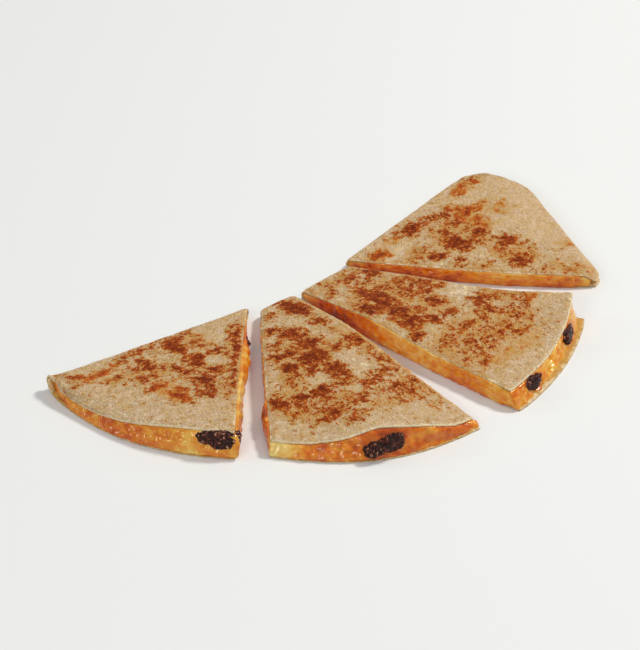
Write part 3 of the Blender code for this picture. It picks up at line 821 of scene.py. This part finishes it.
def toasted_tortilla():
    n = Nodes("toasted_tortilla")
    toast = n.value("toast")
    fine = n.noise(1.7, 2.0, 0.8)
    grain = n.noise(0.75, 1.0, 0.7)
    rough = n.maths("MULTIPLY", n.value("calm"), n.range(toast, -0.5, 0.15, 0.6, 1.45))
    speckles = n.add_scaled(n.maths("MULTIPLY", n.maths("SUBTRACT", fine, 0.5), 1.6), grain, 0.9)
    browned = n.maths("MULTIPLY_ADD", speckles, rough, toast)
    leaning = n.range(n.noise(4.0, 2.0), 0.38, 0.62)
    colour = n.mix(leaning, n.ramp(browned, TOASTED, -1.0, 1.0), n.ramp(browned, TOASTED_OCHRE, -1.0, 1.0))
    flecks = n.range(n.noise(0.9, 1.0), 0.3, 0.7, 0.84, 1.14)
    colour = n.mix(1.0, colour, n.grey(flecks), "MULTIPLY")
    golden = n.maths("MULTIPLY", n.value("gold"), n.range(browned, -0.3, 0.1, 0.8, 0.0))
    colour = n.mix(golden, colour, GOLD)
    # Painted light: the floury rim colour is lighter than the flour alone, to offset the shade it sits in.
    colour = n.mix(n.range(toast, -1.0, -1.5, 0.0, 1.0), colour, RIM_PAINTED_LIGHTER)
    # Painted light: the inner side's colour is lighter than its stain alone, to offset the shade inside the fold.
    colour = n.mix(n.range(n.value("gold"), 1.1, 1.6), colour, INSIDE_PAINTED_LIGHTER)
    crumb = n.mix(n.range(n.noise(0.8, 3.0), 0.35, 0.7), (214, 176, 112), (196, 132, 62))
    colour = n.mix(n.range(n.value("cut"), 0.3, 0.95), colour, crumb)
    height = n.add_scaled(n.add_scaled(n.maths("MULTIPLY", browned, 0.3), grain, 0.8), fine, 1.0)
    return n.finish(
        Base_Color=colour,
        Roughness=n.range(browned, -0.5, 0.6, 0.75, 0.55),
        Normal=n.bump(height, 1.3, 1.0),
        Specular_IOR_Level=0.10,
    )


def melted_cheese():
    n = Nodes("melted_cheese")
    tint = n.value("tint")
    fine = n.noise(2.6, 3.0, 0.5, distortion=0.6)
    shade = n.add_scaled(tint, fine, 0.7)
    colour = n.ramp(shade, CHEESE, -1.0, 1.0)
    return n.finish(
        Base_Color=colour,
        Roughness=n.range(n.noise(2.5, 2.0), 0.35, 0.65, 0.08, 0.18),
        Normal=n.bump(n.noise(1.4, 1.0), 0.3, 0.7),
        Subsurface_Weight=0.25,
        Subsurface_Radius=(1.0, 0.45, 0.15),
        Subsurface_Scale=1.2 * MM,
        Specular_IOR_Level=0.8,
        Specular_Tint=(1.0, 0.86, 0.62, 1.0),
    )


def charred_steak():
    n = Nodes("charred_steak")
    # Painted highlights and shade: the light end of the ramp paints glints on the bead tops, with pale specks of fat,
    # and the low end is black char, darkest in the hollows.
    shade = n.add_scaled(n.value("char_glints_and_shade"), n.noise(1.0, 1.0, 0.6), 2.8)
    colour = n.ramp(shade, ((-0.6, (10, 3, 3)), (-0.1, (38, 12, 9)), (0.25, (80, 30, 21)), (0.5, (130, 72, 50)), (0.8, (220, 172, 138))),
                    -0.6, 0.8)
    height = n.add_scaled(n.noise(0.7, 3.0), n.noise(0.3, 2.0), 0.5)
    return n.finish(
        Base_Color=colour,
        Roughness=n.range(n.noise(0.8, 2.0), 0.3, 0.7, 0.12, 0.3),
        Normal=n.bump(height, 0.6, 1.0),
        Specular_IOR_Level=0.35,
        Specular_Tint=(1.0, 0.7, 0.64, 1.0),
    )


# ---------------------------------------------------------------------------------------------
# Studio
# ---------------------------------------------------------------------------------------------


def aim(thing, place, target):
    thing.location = place
    thing.rotation_euler = (Vector(target) - Vector(place)).to_track_quat("-Z", "Y").to_euler()
    bpy.context.scene.collection.objects.link(thing)


def add_camera():
    lens = bpy.data.cameras.new("camera")
    lens.lens = CAMERA_LENS
    lens.sensor_width = 36.0
    lens.clip_start = 0.05
    camera = bpy.data.objects.new("camera", lens)
    up, turn = math.radians(CAMERA_ELEVATION), math.radians(CAMERA_TURN)
    target = Vector((-MIDDLE[0] * MM, -MIDDLE[1] * MM, 0.0))
    back = Vector((math.sin(turn) * math.cos(up), -math.cos(turn) * math.cos(up), math.sin(up)))
    aim(camera, target + back * CAMERA_DISTANCE, target)
    bpy.context.scene.camera = camera


def add_light(name, azimuth, elevation, distance, size, power, colour=(1.0, 1.0, 1.0)):
    """An area light, at an azimuth measured as the camera's: 0 is in front of the photo's view."""
    lamp = bpy.data.lights.new(name, "AREA")
    lamp.shape = "DISK"
    lamp.size = size
    lamp.energy = power
    lamp.color = colour
    turn, up = math.radians(CAMERA_TURN + azimuth), math.radians(elevation)
    back = Vector((math.sin(turn) * math.cos(up), -math.cos(turn) * math.cos(up), math.sin(up)))
    aim(bpy.data.objects.new(name, lamp), back * distance, (0.0, 0.0, 0.0))


def add_studio():
    bm = bmesh.new()
    bmesh.ops.create_grid(bm, x_segments=2, y_segments=2, size=3.0)
    mesh = bpy.data.meshes.new("floor")
    bm.to_mesh(mesh)
    bm.free()
    floor = bpy.data.objects.new("floor", mesh)
    surface = bpy.data.materials.new("floor")
    surface.use_nodes = True
    shader = surface.node_tree.nodes["Principled BSDF"]
    shader.inputs["Base Color"].default_value = linear((239, 239, 236))
    shader.inputs["Roughness"].default_value = 0.7
    mesh.materials.append(surface)
    bpy.context.scene.collection.objects.link(floor)
    add_light("key", 118, 52, 2.2, 0.41, 29.3, (1.0, 0.97, 0.93))
    add_light("front", -25, 30, 1.6, 0.5, 4.6)
    add_light("top", 30, 80, 1.8, 1.2, 2.3)
    add_light("left", -98, 24, 1.6, 0.3, 1.4)
    world = bpy.data.worlds.new("studio")
    world.use_nodes = True
    world.node_tree.nodes["Background"].inputs["Color"].default_value = (0.9, 0.95, 1.0, 1.0)
    world.node_tree.nodes["Background"].inputs["Strength"].default_value = 0.40
    bpy.context.scene.world = world
    bpy.context.scene.view_settings.view_transform = "Standard"


add_camera()
tortilla_surface, cheese_surface, steak_surface = toasted_tortilla(), melted_cheese(), charred_steak()
for number in SLICES:
    tortilla(number)
    cheese(number)
for name, strip in STEAKS.items():
    steak(name, strip)
add_studio()
